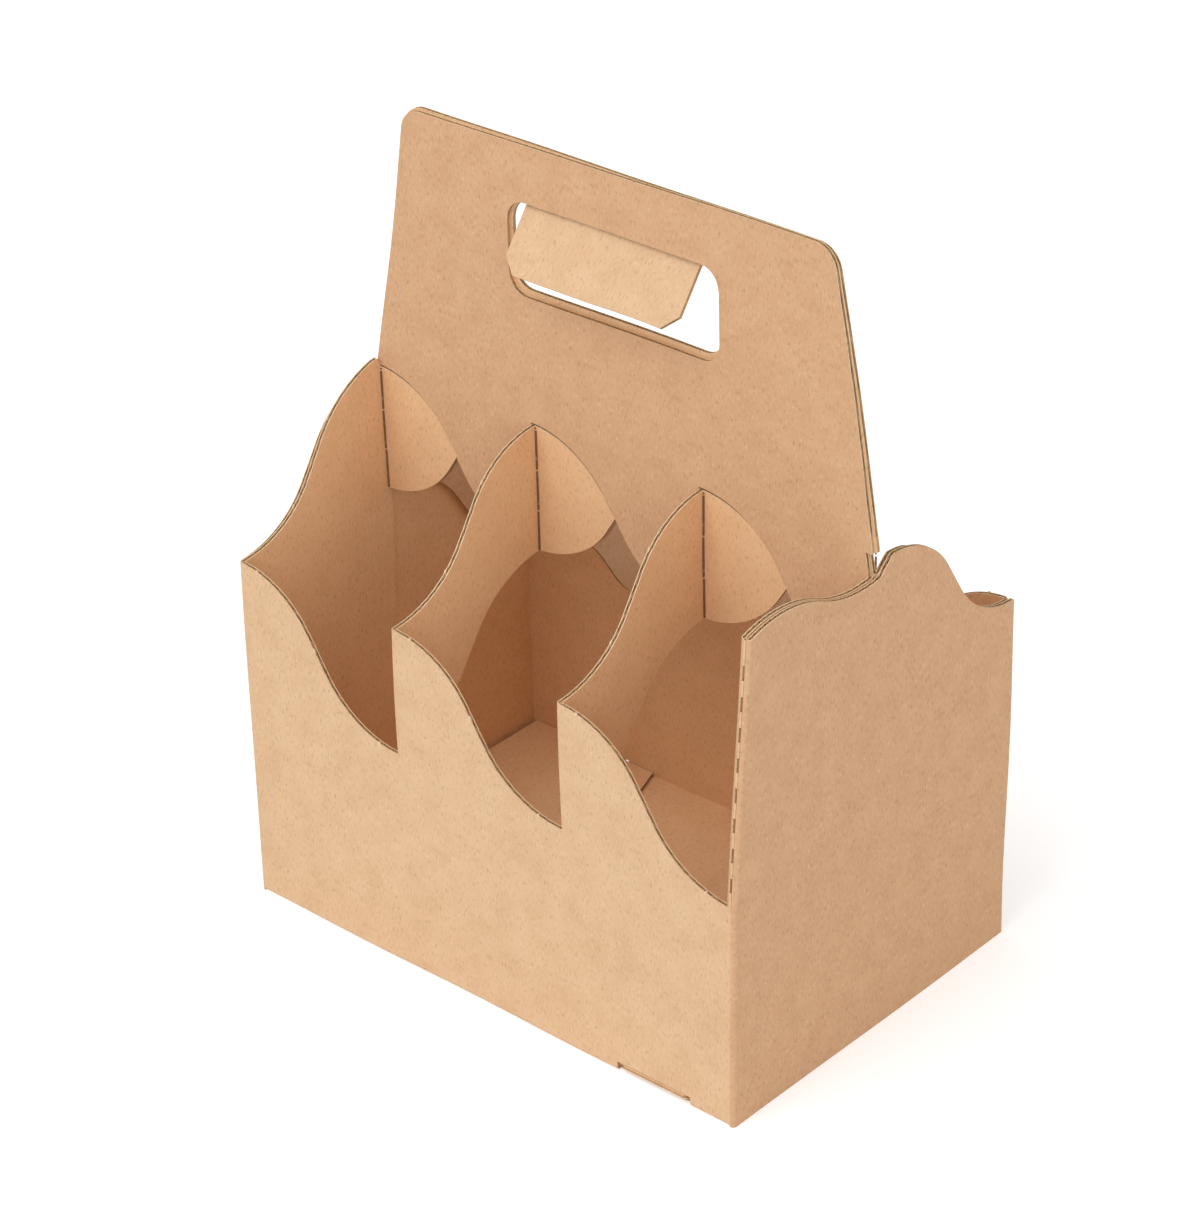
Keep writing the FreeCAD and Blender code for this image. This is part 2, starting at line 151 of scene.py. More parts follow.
def sheetPath(corners, step=1.2):
    # Straight runs joined by arcs of the fold's radius, each arc touching both of its runs.
    bend = boardSizes["fold"]
    corners = [np.array(corner, dtype=float) for corner in corners]
    pieces = []
    begin = corners[0]
    for before, corner, after in zip(corners, corners[1:], corners[2:]):
        inDir = (corner - before) / np.linalg.norm(corner - before)
        outDir = (after - corner) / np.linalg.norm(after - corner)
        turn = math.atan2(inDir[0] * outDir[1] - inDir[1] * outDir[0], inDir @ outDir)
        setback = bend * math.tan(abs(turn) / 2)
        arcStart = corner - inDir * setback
        count = max(2, int(np.linalg.norm(arcStart - begin) / step) + 1)
        pieces.append(begin + np.linspace(0, 1, count)[:-1, None] * (arcStart - begin))
        side = math.copysign(1, turn)
        centre = arcStart + side * bend * np.array([-inDir[1], inDir[0]])
        angles = np.linspace(0, turn, 9)[:-1]
        arm = arcStart - centre
        pieces.append(centre + np.stack([
            arm[0] * np.cos(angles) - arm[1] * np.sin(angles),
            arm[0] * np.sin(angles) + arm[1] * np.cos(angles)], axis=1))
        begin = corner + outDir * setback
    count = max(2, int(np.linalg.norm(corners[-1] - begin) / step) + 1)
    pieces.append(begin + np.linspace(0, 1, count)[:, None] * (corners[-1] - begin))
    return withNormals(np.concatenate(pieces))


def withNormals(points):
    # The sheet's face looks to the right of its path: the tangent turned by a quarter.
    tangent = np.gradient(points, axis=0)
    tangent /= np.linalg.norm(tangent, axis=1)[:, None]
    lengths = np.linalg.norm(np.diff(points, axis=0), axis=1)
    run = np.concatenate([[0], np.cumsum(lengths)])
    return {"at": points, "normal": np.stack([tangent[:, 1], -tangent[:, 0]], axis=1), "run": run}


def sampled(path, run):
    # The same path at other lengths along it: positions and normals in straight steps.
    bit = {"run": run}
    for key in ("at", "normal"):
        bit[key] = np.stack([np.interp(run, path["run"], path[key][:, axis])
                             for axis in (0, 1)], axis=1)
    return bit


# The fifth slot is the outside liner painted darker: painted shade on the handle and the outer end.
faceOut, faceIn, flutedPaper, cutEdge, faceOutShaded, faceShade = range(6)


def slab(store, path, low, high, inner, outer, slots, alongX=False):
    # A closed thin sheet between two offsets of the path: a ring of rows carried along it.
    count = len(path["run"])
    rows = 2 + int(np.max(high - low) / boardSizes["rowHeight"])
    level = low[:, None] + (high - low)[:, None] * np.linspace(0, 1, rows)
    inner = np.broadcast_to(inner, count)
    outer = np.broadcast_to(outer, count)
    rings = []
    for offset, heights in ((outer, level), (inner, level[:, ::-1])):
        flat = path["at"] + path["normal"] * offset[:, None]
        spread = np.broadcast_to(flat[:, None, :], (count, rows, 2))
        rings.append(np.concatenate([spread, heights[:, :, None]], axis=2))
    ring = np.concatenate(rings, axis=1)
    points = ring.reshape(-1, 3)
    if alongX:
        points = points[:, [2, 0, 1]]
    around = 2 * rows
    first = sum(len(block) for block in store["points"])
    column, row = np.meshgrid(np.arange(count - 1), np.arange(around), indexing="ij")
    after = (row + 1) % around
    quads = np.stack([column * around + row, (column + 1) * around + row,
                      (column + 1) * around + after, column * around + after], axis=2)
    slotRow = np.full(around, slots[0])
    slotRow[rows - 1] = slots[2]
    slotRow[rows:-1] = slots[1]
    slotRow[-1] = slots[2]
    j = np.arange(rows - 1)
    cap = np.stack([j, j + 1, around - 2 - j, around - 1 - j], axis=1)
    capEnd = cap[:, ::-1] + (count - 1) * around
    store["points"].append(points)
    store["faces"] += [quads.reshape(-1, 4) + first, cap + first, capEnd + first]
    store["slots"] += [np.tile(slotRow, count - 1), np.full(2 * (rows - 1), slots[2])]
    place = np.zeros((count, around, 3))
    place[:, :, 0] = path["run"][:, None]
    place[:, :, 1] = ring[:, :, 2]
    place[:, :, 2] = path["at"][:1, :1]
    store["place"].append(place.reshape(-1, 3))


def strip(store, path, low, high, alongX=False, flutes=True, face=faceOut):
    # Board as it is made: two liners, and a sine of fluted paper behind each cut edge.
    low = np.broadcast_to(low, len(path["run"])).astype(float)
    sliver = boardSizes["sliver"]
    high = np.maximum(np.broadcast_to(high, len(path["run"])), low + sliver).astype(float)
    inside = half - boardSizes["liner"]
    slab(store, path, low, high, inside, half, (face, flutedPaper, cutEdge), alongX)
    slab(store, path, low, high, -half, -inside, (flutedPaper, faceIn, cutEdge), alongX)
    recess = boardSizes["recess"]
    width = min(boardSizes["ribWidth"], 0.4 * path["run"][-1])
    for start, end in ((0, width), (path["run"][-1] - width, path["run"][-1])):
        run = np.linspace(start, end, 3)
        rib = sampled(path, run)
        ribLow = np.interp(run, path["run"], low) + recess
        ribHigh = np.maximum(np.interp(run, path["run"], high) - recess, ribLow + sliver)
        slab(store, rib, ribLow, ribHigh, -inside, inside, (flutedPaper,) * 3, alongX)
    if not flutes:
        return
    fine = sampled(path, np.arange(0, path["run"][-1], boardSizes["flutePitch"] / 8))
    if len(fine["run"]) < 4:
        return
    swing = inside - 0.5 * boardSizes["medium"]
    wave = swing * np.sin(2 * math.pi * fine["run"] / boardSizes["flutePitch"])
    lowFine = np.interp(fine["run"], path["run"], low) + recess
    highFine = np.interp(fine["run"], path["run"], high) - recess
    highFine = np.maximum(highFine, lowFine + sliver)
    depth = np.minimum(boardSizes["bandDepth"], 0.5 * (highFine - lowFine))
    for bandLow, bandHigh in ((lowFine, lowFine + depth), (highFine - depth, highFine)):
        slab(store, fine, bandLow, bandHigh, wave - 0.5 * boardSizes["medium"],
             wave + 0.5 * boardSizes["medium"], (flutedPaper,) * 3, alongX)


nibSizes = {
    "apart": 23.0, "first": 8.0, "width": 0.7, "height": 0.5, "proud": 0.02,
}


def nibs(store, path, high):
    # Little torn bridges where the blank was held, at uneven steps along the cut edge.
    for place in np.arange(nibSizes["first"], path["run"][-1] - 3, nibSizes["apart"]):
        place = place + 3 * math.sin(7 * place)
        run = place + np.array([-0.5, 0, 0.5]) * nibSizes["width"]
        bit = sampled(path, run)
        bit["run"] = run - run[0]
        top = np.interp(run, path["run"], high)
        crown = top + nibSizes["height"] * np.array([0.5, 1, 0.6])
        slab(store, bit, top - nibSizes["height"], crown,
             half - 0.5, half + nibSizes["proud"], (cutEdge,) * 3)


def leaned(store, begin):
    # The double fold leans back over its height; the lean fades out behind the fold.
    for block in store["points"][begin:]:
        share = np.clip((block[:, 2] - dip) / (webTop - dip), 0, None)
        fade = np.clip(1 - (block[:, 1] + halfDepth) / blankSizes["crestSetback"], 0, 1)
        block[:, 1] += blankSizes["lean"] * share * fade


def wallStrips(store):
    # Long wall: each cell's top falls in an ogee, and the next cell starts behind a fold.
    y = -halfDepth + half
    ends = [hinge + half + boardSizes["fold"] for hinge in hinges]
    ends.append(halfWidth - half - boardSizes["fold"])
    for number, hinge in enumerate(hinges):
        start, end = ends[number], ends[number + 1]
        runEnd = hinges[number + 1] if number < 2 else halfWidth
        spans = [(start, end, 2 * half)]
        if number == 2:
            spans = [(start, blankSizes["slotStart"], 2 * half),
                     (blankSizes["slotStart"], blankSizes["slotEnd"], blankSizes["slotTop"]),
                     (blankSizes["slotEnd"], end, 2 * half)]
        for spanStart, spanEnd, foot in spans:
            path = sheetPath([(spanStart, y), (spanEnd, y)])
            top = shoulder - ogee(path["at"][:, 0] - hinge, runEnd - hinge, rise)
            strip(store, path, foot, top)
            if foot < blankSizes["slotTop"]:
                nibs(store, path, top)


def endStrips(store, turned):
    # Outer end: below the dip it turns into the wall, above it folds back on itself.
    x = halfWidth - half
    y = -halfDepth + half
    bend = boardSizes["fold"]
    far = halfDepth - (blankSizes["endShort"] if turned else 0)
    path = sheetPath([(x - bend - 0.01, y), (x, y), (x, far)])
    # The outer end takes the darker liner slot: painted shade, as on the handle.
    strip(store, path, 0, dip, flutes=False, face=faceOutShaded)
    begin = len(store["points"])
    inner = plyRight - half
    bow = 0.5 * (x - inner)
    front = -halfDepth + half + bow
    angle = math.asin(0.5 * blankSizes["slitWidth"] / bow)
    middle = inner + bow
    sweep = np.linspace(0, 0.5 * math.pi - angle, 8)
    turnIn = np.stack([middle - bow * np.cos(sweep), front - bow * np.sin(sweep)], axis=1)
    turnOut = turnIn[::-1] * [-1, 1] + [2 * middle, 0]
    # Handle ply over the last cell, its fold, the inner ply, and half of the double fold
    run = sheetPath([(hinges[2], -half), (inner, -half), (inner, front)])
    path = withNormals(np.concatenate([run["at"], turnIn[1:]]))
    at = path["at"]
    overCell = shoulder + ogee(plyRight - at[:, 0], plyRight - hinges[2], rise)
    under = dip + ogee(at[:, 1] + halfDepth, halfDepth, rise)
    low = np.where(at[:, 0] < inner - bend, overCell, under)
    fade = np.clip(1 - (at[:, 1] + halfDepth) / blankSizes["crestSetback"], 0, 1)
    top = endOutline(np.minimum(at[:, 1] + blankSizes["lean"] * fade, 0))
    high = np.where(at[:, 0] < inner - bend, apex, top)
    strip(store, path, low, high, face=faceOutShaded)
    # The other half of the double fold and the outer end
    run = sheetPath([(x, front), (x, far)], step=1.0)
    path = withNormals(np.concatenate([turnOut[:-1], run["at"]]))
    at = path["at"]
    fade = np.clip(1 - (at[:, 1] + halfDepth) / blankSizes["crestSetback"], 0, 1)
    high = endOutline(at[:, 1] + blankSizes["lean"] * fade * (at[:, 1] < 0))
    if turned:
        # Behind the glue panel this end stays a little lower, and short of the front corner
        panel = shoulder + ogee(halfDepth - at[:, 1], halfDepth, rise - 2 * cut)
        high = np.where(at[:, 1] > 4, np.minimum(high, panel - blankSizes["endDrop"]), high)
    strip(store, path, dip, high, face=faceOutShaded)
    # Bridges between the slits of the double fold
    gapSweep = np.linspace(-angle, angle, 4)
    bridge = withNormals(np.stack([middle + bow * np.sin(gapSweep),
                                   front - bow * np.cos(gapSweep)], axis=1))
    count = int((webTop - dip - blankSizes["slitLength"]) // blankSizes["slitPitch"])
    base = dip
    for number in range(count + 1):
        slit = dip + blankSizes["slitPitch"] * (number + 0.5) if number < count else webTop
        strip(store, bridge, base, slit, flutes=False)
        base = slit + blankSizes["slitLength"]
    leaned(store, begin)


def bandStrips(store, trimmed):
    # Glue panel and dividers: from a tab on the handle, forward, and round into the wall.
    y = -halfDepth + half
    bend = boardSizes["fold"]
    for number, hinge in enumerate(hinges):
        x = hinge + half
        tip = hinge + 0.5 * pitch
        path = sheetPath([(tip, -half), (x, -half), (x, y), (x + bend + 0.01, y)])
        at = path["at"]
        onTab = (at[:, 0] > x + bend) & (at[:, 1] > -2 * half)
        climb = ogee(at[:, 0] - hinge, pitch, rise)
        back = ogee(at[:, 1] + halfDepth, halfDepth, rise)
        low = np.where(onTab, shoulder + climb, dip + back)
        high = np.where(onTab, apex - 2 * cut - climb, shoulder + back * (1 - 2 * cut / rise))
        if number == 0 and trimmed:
            cover = endOutline(-at[:, 1]) - blankSizes["panelTrim"]
            high = np.where(onTab, high, np.minimum(high, cover))
        if number == 0 and not trimmed:
            swell = (at[:, 1] + blankSizes["panelSwellFrom"]) / blankSizes["panelSwellRun"]
            swell = blankSizes["panelSwell"] * np.clip(swell, 0, 1) ** 2
            high = high + np.where(at[:, 1] < -2 * half - 0.1, swell, 0)
        strip(store, path, low, high)
        nibs(store, path, high)
        foldCrease(store, hinge, shoulder + 0.3, apex - 2 * cut - 0.6)
        if number == 0:
            path = sheetPath([(x, 0), (x, y), (x + bend + 0.01, y)])
            top = dip + ogee(path["at"][:, 1] + halfDepth, halfDepth, rise)
            strip(store, path, 0, top, flutes=False)


creaseSizes = {
    "width": 0.45, "waver": 0.1, "slitLength": 13.2, "bridge": 0.7,
}


def foldCrease(store, hinge, low, high):
    # Cut score inside the fold of a tab: a dark sliver across the corner, painted shade standing for
    # the dark slit, with bridges.
    corner = hinge + 2 * half
    width = creaseSizes["width"]
    step = creaseSizes["slitLength"] + creaseSizes["bridge"]
    for number in range(int((high - low) // step) + 1):
        start = low + number * step
        end = min(start + creaseSizes["slitLength"], high)
        waver = creaseSizes["waver"] * math.sin(2.3 * number + hinge)
        points = np.array([(corner + width + waver, -2 * half - 0.02),
                           (corner + 0.5 * width, -2 * half - 0.5 * width),
                           (corner + 0.02, -2 * half - width + waver)])
        # The sliver is painted shade: it stands in for the shadow in the slit.
        slab(store, withNormals(points), np.full(3, start), np.full(3, end),
             -0.15, 0.05, (faceShade,) * 3)


def handleStrips(store, turned):
    # Handle ply: an ogee over each cell below, and the tapered part round the hand hole.
    # The handle ply takes the darker liner slot: painted shade.
    for number in (0, 1):
        start = hinges[number] + (0.02 if number else 0.3)
        end = hinges[number + 1] - cut
        path = sheetPath([(start, -half), (end, -half)])
        low = shoulder + ogee(end - path["at"][:, 0], end - hinges[number], rise)
        strip(store, path, low, apex, face=faceOutShaded)
    hole = blankSizes["holeHalf"]
    side, lift = (blankSizes["backHoleSide"], blankSizes["backHoleLift"]) if turned else (0, 0)
    left = sheetPath([(firstHinge + 0.2, -half), (-hole, -half)], step=0.5)
    middle = sheetPath([(-hole + 0.001, -half), (hole - side - 0.001, -half)], step=0.5)
    right = sheetPath([(hole - side, -half), (plyRight - 0.2, -half)], step=0.5)
    across = middle["at"][:, 0] * hole / (hole - 0.5 * side) + 0.5 * side
    strip(store, left, apex, handleEdge(left["at"][:, 0]), face=faceOutShaded)
    strip(store, middle, apex, holeEdge(across, -1) + lift, face=faceOutShaded)
    strip(store, middle, holeEdge(across, 1), handleEdge(middle["at"][:, 0]), face=faceOutShaded)
    strip(store, right, apex, handleEdge(right["at"][:, 0]), face=faceOutShaded)


def floorStrips(store):
    # Floor flap: folded in from the wall, then a long half with a tongue over the other flap.
    y = -halfDepth + half
    inside = -halfDepth + 2 * half + cut
    left = -(halfWidth - 4 * half - cut)
    right = halfWidth - 2 * half - cut
    meet = blankSizes["floorMeeting"]
    foldLeft = firstHinge + half + boardSizes["fold"]
    foldRight = halfWidth - half - boardSizes["fold"]
    for start, end in ((foldLeft, blankSizes["slotStart"]), (blankSizes["slotEnd"], foldRight)):
        path = sheetPath([(y, 2 * half), (y, half), (inside, half)])
        strip(store, path, start, end, alongX=True, flutes=False)
    for start, end, far in ((left, -cut, meet - cut), (-cut, right, -(meet + cut))):
        path = sheetPath([(inside, half), (far, half)])
        strip(store, path, start, end, alongX=True, flutes=False)
    backEdge = halfDepth - 2 * half - cut
    lap = meet - blankSizes["floorLap"]
    tongueLeft = -(blankSizes["slotEnd"] - blankSizes["slotPlay"])
    tongueRight = -(blankSizes["slotStart"] + blankSizes["slotPlay"])
    corner = tongueRight + blankSizes["tongueShoulder"]
    path = sheetPath([(lap, 3 * half), (backEdge, 3 * half)])
    share = (path["at"][:, 0] - lap) / (backEdge - lap)
    waist = blankSizes["floorWaist"]
    strip(store, path, left, share * (corner + waist) - waist, alongX=True, flutes=False)
    path = sheetPath([(backEdge, 3 * half), (halfDepth, 3 * half)], step=0.4)
    past = path["at"][:, 0] - backEdge - blankSizes["tongueStraight"]
    taper = blankSizes["tongueTaper"] * np.clip(past, 0, None)
    strip(store, path, tongueLeft + taper, tongueRight - taper, alongX=True, flutes=False)


warpSizes = {
    "shrinkX": 0.0035, "shrinkY": 0.005, "shrinkZ": 0.0004,     # keeps the waves in the box
    "swing": 0.24,          # how far the board wanders out of flat
    "wavesX": (97, 151, 0.7), "wavesY": (113, 89, 1.9), "wavesZ": 120,
}


def warped(points):
    # Slow waves through the whole pack, so nothing is dead flat and all stays joined.
    x, y, z = points.T
    swing = warpSizes["swing"]
    turn = 2 * math.pi
    moved = np.empty_like(points)
    up, across, phase = warpSizes["wavesX"]
    moved[:, 0] = x * (1 - warpSizes["shrinkX"]) + swing * np.sin(
        turn * (z / up + y / across) + phase)
    up, across, phase = warpSizes["wavesY"]
    moved[:, 1] = y * (1 - warpSizes["shrinkY"]) + swing * np.sin(
        turn * (z / up + x / across) + phase)
    moved[:, 2] = z * (1 - warpSizes["shrinkZ"]) + 0.4 * swing * (z / 255) * np.sin(
        turn * x / warpSizes["wavesZ"])
    return moved


def makePiece(name, store, materials):
    # One mesh from the gathered blocks; the sheet's own place is kept for its material.
    points = np.concatenate(store["points"]) * toMetres
    faces = np.concatenate(store["faces"]).astype(np.int32)
    mesh = bpy.data.meshes.new(name)
    mesh.vertices.add(len(points))
    mesh.vertices.foreach_set("co", points.astype(np.float32).ravel())
    mesh.loops.add(faces.size)
    mesh.loops.foreach_set("vertex_index", faces.ravel())
    mesh.polygons.add(len(faces))
    mesh.polygons.foreach_set("loop_start", np.arange(0, faces.size, 4, dtype=np.int32))
    for material in materials:
        mesh.materials.append(material)
    mesh.polygons.foreach_set("material_index", np.concatenate(store["slots"]).astype(np.int32))
    mesh.polygons.foreach_set("use_smooth", np.zeros(len(faces), dtype=bool))
    place = mesh.attributes.new("sheetPlace", "FLOAT_VECTOR", "POINT")
    values = np.concatenate(store["place"]) * toMetres
    place.data.foreach_set("vector", values.astype(np.float32).ravel())
    mesh.update(calc_edges=True)
    mesh.validate()
    piece = bpy.data.objects.new(name, mesh)
    bpy.context.scene.collection.objects.link(piece)
    print("made", name, "with", len(faces), "faces")
    return piece


def linear(code):
    # sRGB hex to the linear values that the shader wants.
    values = [int(code[place:place + 2], 16) / 255 for place in (0, 2, 4)]
    return tuple(v / 12.92 if v < 0.04045 else ((v + 0.055) / 1.055) ** 2.4
                 for v in values) + (1,)


def addNode(tree, kind, inputs=None, **settings):
    # Adds one node; an input is a value or another node's output socket.
    node = tree.nodes.new(kind)
    for key, value in settings.items():
        setattr(node, key, value)
    for key, value in (inputs or {}).items():
        if isinstance(value, bpy.types.NodeSocket):
            tree.links.new(value, node.inputs[key])
        else:
            node.inputs[key].default_value = value
    return node


paperColours = {
    "outerLiner": ("e2c09b", "cba47d"),     # kraft test liner, machine made, dull and fibrous
    "shadedOuterLiner": ("dab18a", "c49670"),    # the outside liner painted darker, as shade, for the handle and the outer end
    "innerLiner": ("ecc196", "dbae80"),     # the more orange recycled liner inside
    "flutedMedium": ("c59d72", "ad855c"),   # unbleached fluting paper, in the dark of the cut
    "creaseShadePaint": ("86603f", "6b4a2e"),    # painted shade: dark paint for the shadow inside the slit of a cut score
    "cutPaper": ("ecd2b0", "d8b78f"),       # knife-cut liner edges, paler than the face
}


paperPattern = {            # metres
    "cloud": 0.009,             # mottling of the pulp
    "fibreAcross": 0.0007, "fibreAlong": 0.0019,        # fibres, as coarse as they need to show
    "speck": 0.0034, "speckColour": "80603c",
    "darkFibre": "7d5630", "lightFibre": "f0d8b4", "fibreStrength": 0.5, "speckStrength": 0.28,
    "roughness": 0.82, "specular": 0.25, "bump": 0.35, "relief": 0.00012,
}


def kraftPaper(name, colours, washboard):
    # Paper: soft mottling, short dark and light fibres, and a faint ghost of the flutes.
    material = bpy.data.materials.new(name)
    material.use_nodes = True
    tree = material.node_tree
    shader = tree.nodes["Principled BSDF"]
    place = addNode(tree, "ShaderNodeAttribute", attribute_name="sheetPlace")
    body = addNode(tree, "ShaderNodeTexCoord")
    cloud = addNode(tree, "ShaderNodeTexNoise", {
        "Vector": body.outputs["Object"], "Scale": 1 / paperPattern["cloud"], "Detail": 6.0,
        "Roughness": 0.62})
    stretch = addNode(tree, "ShaderNodeMapping", {
        "Vector": place.outputs["Vector"],
        "Scale": (1 / paperPattern["fibreAcross"], 1 / paperPattern["fibreAlong"], 1.0)})
    fibre = addNode(tree, "ShaderNodeTexNoise", {
        "Vector": stretch.outputs["Vector"], "Scale": 1.0, "Detail": 3.0, "Roughness": 0.6})
    speck = addNode(tree, "ShaderNodeTexVoronoi", {
        "Vector": body.outputs["Object"], "Scale": 1 / paperPattern["speck"], "Randomness": 1.0})
    base = addNode(tree, "ShaderNodeMix", {
        "Factor": cloud.outputs["Fac"], 6: linear(colours[0]), 7: linear(colours[1])},
        data_type="RGBA")
    darkFibre = addNode(tree, "ShaderNodeMapRange", {
        "Value": fibre.outputs["Fac"], "From Min": 0.56, "From Max": 0.78,
        "To Min": 0.0, "To Max": paperPattern["fibreStrength"]})
    fibres = addNode(tree, "ShaderNodeMix", {
        "Factor": darkFibre.outputs["Result"], 6: base.outputs[2],
        7: linear(paperPattern["darkFibre"])},
        data_type="RGBA")
    lightFibre = addNode(tree, "ShaderNodeMapRange", {
        "Value": fibre.outputs["Fac"], "From Min": 0.42, "From Max": 0.2,
        "To Min": 0.0, "To Max": paperPattern["fibreStrength"]})
    pale = addNode(tree, "ShaderNodeMix", {
        "Factor": lightFibre.outputs["Result"], 6: fibres.outputs[2],
        7: linear(paperPattern["lightFibre"])},
        data_type="RGBA")
    speckSize = addNode(tree, "ShaderNodeMapRange", {
        "Value": speck.outputs["Distance"], "From Min": 0.05, "From Max": 0.1,
        "To Min": paperPattern["speckStrength"], "To Max": 0.0})
    last = addNode(tree, "ShaderNodeMix", {
        "Factor": speckSize.outputs["Result"], 6: pale.outputs[2],
        7: linear(paperPattern["speckColour"])},
        data_type="RGBA")
    tree.links.new(last.outputs[2], shader.inputs["Base Color"])
    shader.inputs["Roughness"].default_value = paperPattern["roughness"]
    shader.inputs["Specular IOR Level"].default_value = paperPattern["specular"]
    height = fibre.outputs["Fac"]
    if washboard:
        across = addNode(tree, "ShaderNodeSeparateXYZ", {"Vector": place.outputs["Vector"]})
        angle = addNode(tree, "ShaderNodeMath", {
            0: across.outputs["X"], 1: 2 * math.pi / (boardSizes["flutePitch"] * toMetres)},
            operation="MULTIPLY")
        flute = addNode(tree, "ShaderNodeMath", {0: angle.outputs[0]}, operation="SINE")
        ghost = addNode(tree, "ShaderNodeMath", {
            0: flute.outputs[0], 1: washboard, 2: fibre.outputs["Fac"]},
            operation="MULTIPLY_ADD")
        height = ghost.outputs[0]
    bump = addNode(tree, "ShaderNodeBump", {
        "Height": height, "Strength": paperPattern["bump"],
        "Distance": paperPattern["relief"]})
    tree.links.new(bump.outputs["Normal"], shader.inputs["Normal"])
    return material


papers = [
    kraftPaper("kraftLinerOutside", paperColours["outerLiner"], 0.3),
    kraftPaper("kraftLinerInside", paperColours["innerLiner"], 0.3),
    kraftPaper("flutingPaper", paperColours["flutedMedium"], 0),
    kraftPaper("knifeCutPaper", paperColours["cutPaper"], 0),
    # Painted shade: the outside liner again, painted darker for the handle and the outer end.
    kraftPaper("kraftLinerPaintedShade", paperColours["shadedOuterLiner"], 0.3),
    # Painted shade for the slits of the cut scores inside the tab folds.
    kraftPaper("paintedCreaseShade", paperColours["creaseShadePaint"], 0),
]
print("papers made")


def makeBlank(name, turned):
    # Every panel of one die-cut blank, folded; the back one is turned half round.
    store = {"points": [], "faces": [], "slots": [], "place": []}
    wallStrips(store)
    endStrips(store, turned)
    bandStrips(store, turned)
    handleStrips(store, turned)
    floorStrips(store)
    for number, block in enumerate(store["points"]):
        if turned:
            block = block * [-1, -1, 1]
        store["points"][number] = warped(block)
    piece = makePiece(name, store, papers)
    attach(piece, "carrier")
    return piece


frontBlank = makeBlank("front_board", False)
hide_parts("front_blank")
backBlank = makeBlank("back_board", True)
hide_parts("back_blank")

flapSizes = {
    "halfLength": 34.1, "rightShort": 1.3, "drop": 22.4, "corner": 5.0, "angle": 36.0,
    "pivotY": 0.75, "pivotZ": 235.75, "roll": 0.95,
}


def makeFlap():
    # Hand hole flap: a small board hanging from its fold, swung forward about it.
    store = {"points": [], "faces": [], "slots": [], "place": []}
    length = flapSizes["halfLength"]
    corner = flapSizes["corner"]
    right = length - flapSizes["rightShort"]
    path = sheetPath([(-length, 0), (right, 0)], step=0.5)
    x = path["at"][:, 0]
    over = np.clip(x - (right - corner), 0, None) + np.clip(-x - (length - corner), 0, None)
    low = -(flapSizes["drop"] - half) + over + 0.25 * np.sin(path["at"][:, 0] / 9)
    low = np.maximum(low, -(flapSizes["drop"] - half))
    strip(store, path, low, -0.1)
    angle = math.radians(flapSizes["angle"])
    for block in store["points"]:
        y = block[:, 1].copy()
        z = block[:, 2].copy()
        block[:, 1] = y * math.cos(angle) + z * math.sin(angle) + flapSizes["pivotY"]
        block[:, 2] = z * math.cos(angle) - y * math.sin(angle) + flapSizes["pivotZ"]
    piece = makePiece("hand_hole_flap", store, papers)
    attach(piece, "hand_flap")
    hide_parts("handle_flap")


def makeRoll():
    # The creased fold that the flap hangs from: a slim round bead along the fold line.
    length = flapSizes["halfLength"] - 0.4
    angles = np.linspace(0, 2 * math.pi, 17)[:-1]
    x = np.linspace(-length, length, 60)
    radius = flapSizes["roll"] * (1 - 0.06 * np.sin(x / 3.1) ** 2)
    radius[[0, -1]] *= 0.6
    across = flapSizes["pivotY"] + radius[:, None] * np.cos(angles)
    above = flapSizes["pivotZ"] + radius[:, None] * np.sin(angles)
    grid = np.stack([np.broadcast_to(x[:, None], across.shape), across, above], axis=2)
    points = grid.reshape(-1, 3)
    count, around = across.shape
    column, row = np.meshgrid(np.arange(count - 1), np.arange(around), indexing="ij")
    after = (row + 1) % around
    quads = np.stack([column * around + row, column * around + after,
                      (column + 1) * around + after, (column + 1) * around + row], axis=2)
    faces = quads.reshape(-1, 4)[:, ::-1].tolist()
    faces.append(list(range(around)))
    faces.append(list(range((count - 1) * around, count * around))[::-1])
    mesh = bpy.data.meshes.new("flap_fold")
    mesh.from_pydata((points * toMetres).tolist(), [], faces)
    place = mesh.attributes.new("sheetPlace", "FLOAT_VECTOR", "POINT")
    place.data.foreach_set("vector", (points[:, [0, 2, 1]] * toMetres).astype(np.float32).ravel())
    mesh.materials.append(papers[0])
    mesh.update()
    piece = bpy.data.objects.new("flap_fold_bead", mesh)
    bpy.context.scene.collection.objects.link(piece)
    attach(piece, "carrier")


makeFlap()
makeRoll()
print("flap made")

cameraSizes = {
    "place": (0.676267, -0.764274, 0.693392), "aim": (-0.0083393, 0.0, 0.1085663),
    "roll": -1.1859, "lens": 115.2735,
}


def makeCamera():
    data = bpy.data.cameras.new("camera")
    data.sensor_fit = "HORIZONTAL"
    data.sensor_width = 36
    data.lens = cameraSizes["lens"]
    data.clip_start = 0.1
    camera = bpy.data.objects.new("camera", data)
    bpy.context.scene.collection.objects.link(camera)
    place = Vector(cameraSizes["place"])
    turn = (Vector(cameraSizes["aim"]) - place).to_track_quat("-Z", "Y").to_matrix()
    turn = turn @ Matrix.Rotation(math.radians(cameraSizes["roll"]), 3, "Z")
    camera.matrix_world = Matrix.Translation(place) @ turn.to_4x4()
    bpy.context.scene.camera = camera


stageSizes = {
    "floorHalf": 3.0, "floorColour": "f4f4f4", "floorLift": 0.3, "worldLight": 0.92, "behindLight": 0.5,
    "lamps": {"key": (0.85, (-0.13, -0.6, 0.79), 40), "fill": (0.42, (0.85, -0.25, 0.45), 60)},
}


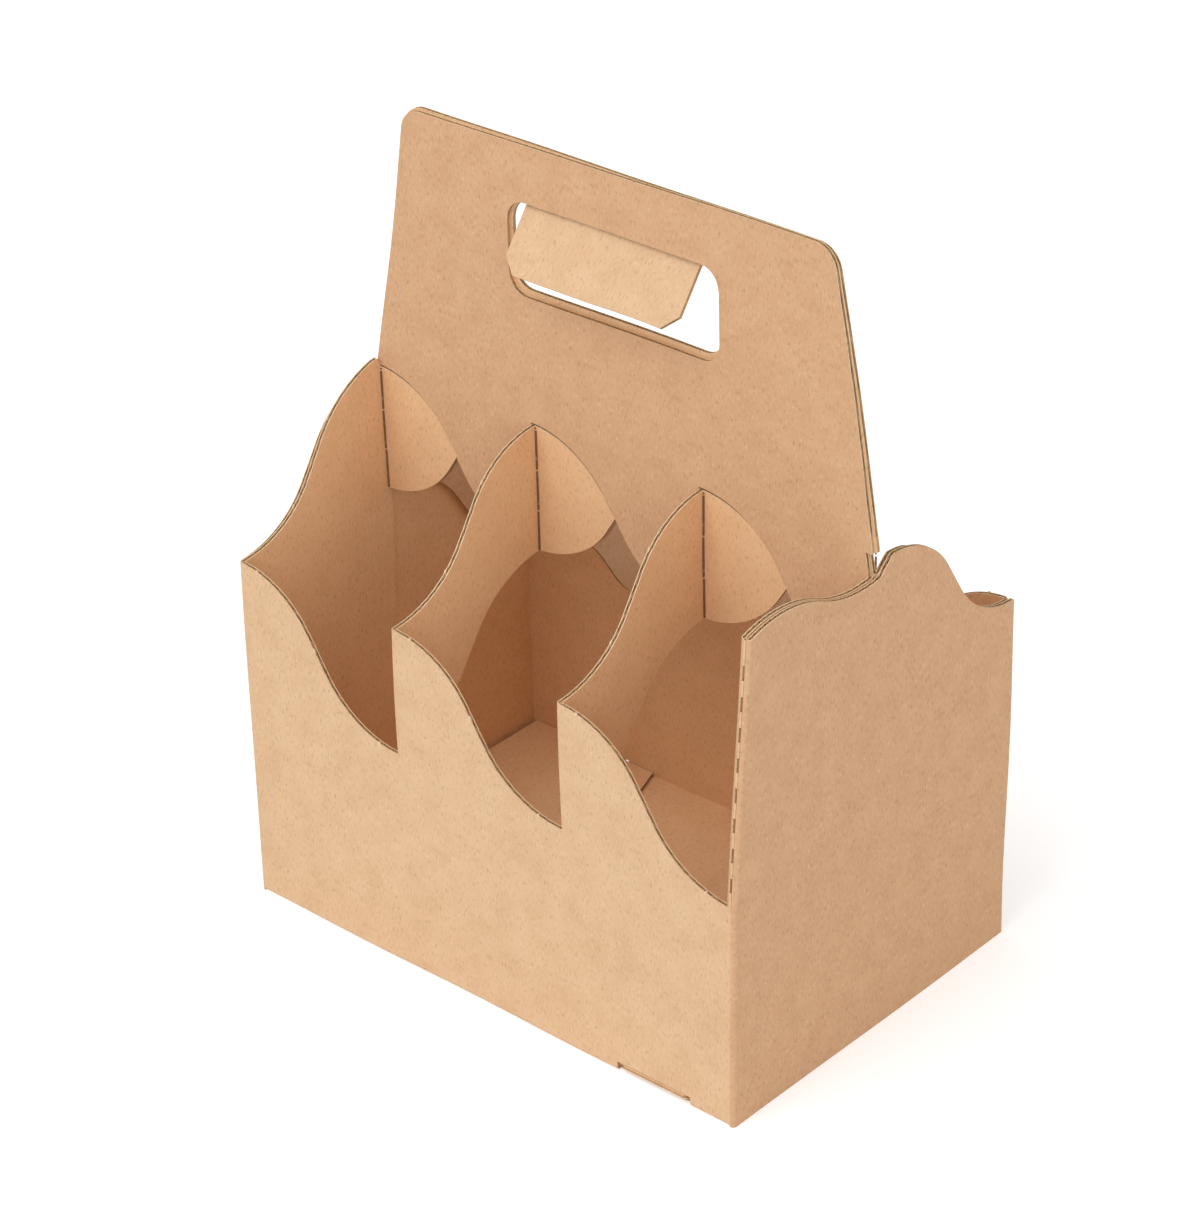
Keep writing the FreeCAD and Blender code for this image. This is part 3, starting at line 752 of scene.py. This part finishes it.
def makeStage():
    # A plain pale floor, soft light all round and two broad lamps, in front and at the right.
    size = stageSizes["floorHalf"]
    mesh = bpy.data.meshes.new("floor")
    mesh.from_pydata([(-size, -size, 0), (size, -size, 0), (size, size, 0), (-size, size, 0)],
                     [], [(0, 1, 2, 3)])
    floor = bpy.data.objects.new("floor", mesh)
    bpy.context.scene.collection.objects.link(floor)
    material = bpy.data.materials.new("paleFloor")
    material.use_nodes = True
    tree = material.node_tree
    shader = tree.nodes["Principled BSDF"]
    shader.inputs["Base Color"].default_value = linear(stageSizes["floorColour"])
    shader.inputs["Roughness"].default_value = 0.9
    shader.inputs["Emission Color"].default_value = (1, 1, 1, 1)
    light = addNode(tree, "ShaderNodeLightPath")
    lift = addNode(tree, "ShaderNodeMath", {
        0: light.outputs["Is Camera Ray"], 1: stageSizes["floorLift"]}, operation="MULTIPLY")
    tree.links.new(lift.outputs[0], shader.inputs["Emission Strength"])
    mesh.materials.append(material)
    world = bpy.data.worlds.new("studio")
    bpy.context.scene.world = world
    world.use_nodes = True
    sky = world.node_tree
    background = sky.nodes["Background"]
    background.inputs["Color"].default_value = (1, 1, 1, 1)
    # The studio is lit from the front: its wall behind the carrier gives less light
    around = addNode(sky, "ShaderNodeTexCoord")
    way = addNode(sky, "ShaderNodeSeparateXYZ", {"Vector": around.outputs["Generated"]})
    fall = addNode(sky, "ShaderNodeMapRange", {
        "Value": way.outputs["Y"], "From Min": -0.3, "From Max": 0.7,
        "To Min": stageSizes["worldLight"], "To Max": stageSizes["behindLight"]})
    seen = addNode(sky, "ShaderNodeLightPath")
    strength = addNode(sky, "ShaderNodeMapRange", {
        "Value": seen.outputs["Is Camera Ray"], "To Min": fall.outputs["Result"], "To Max": 1.0})
    sky.links.new(strength.outputs["Result"], background.inputs["Strength"])
    for name, (energy, place, width) in stageSizes["lamps"].items():
        lamp = bpy.data.lights.new(name, "SUN")
        lamp.energy = energy
        lamp.angle = math.radians(width)
        softLamp = bpy.data.objects.new(name, lamp)
        softLamp.rotation_euler = Vector(place).to_track_quat("Z", "Y").to_euler()
        bpy.context.scene.collection.objects.link(softLamp)
    bpy.context.scene.view_settings.view_transform = "Standard"


makeCamera()
makeStage()
print("camera and stage made")
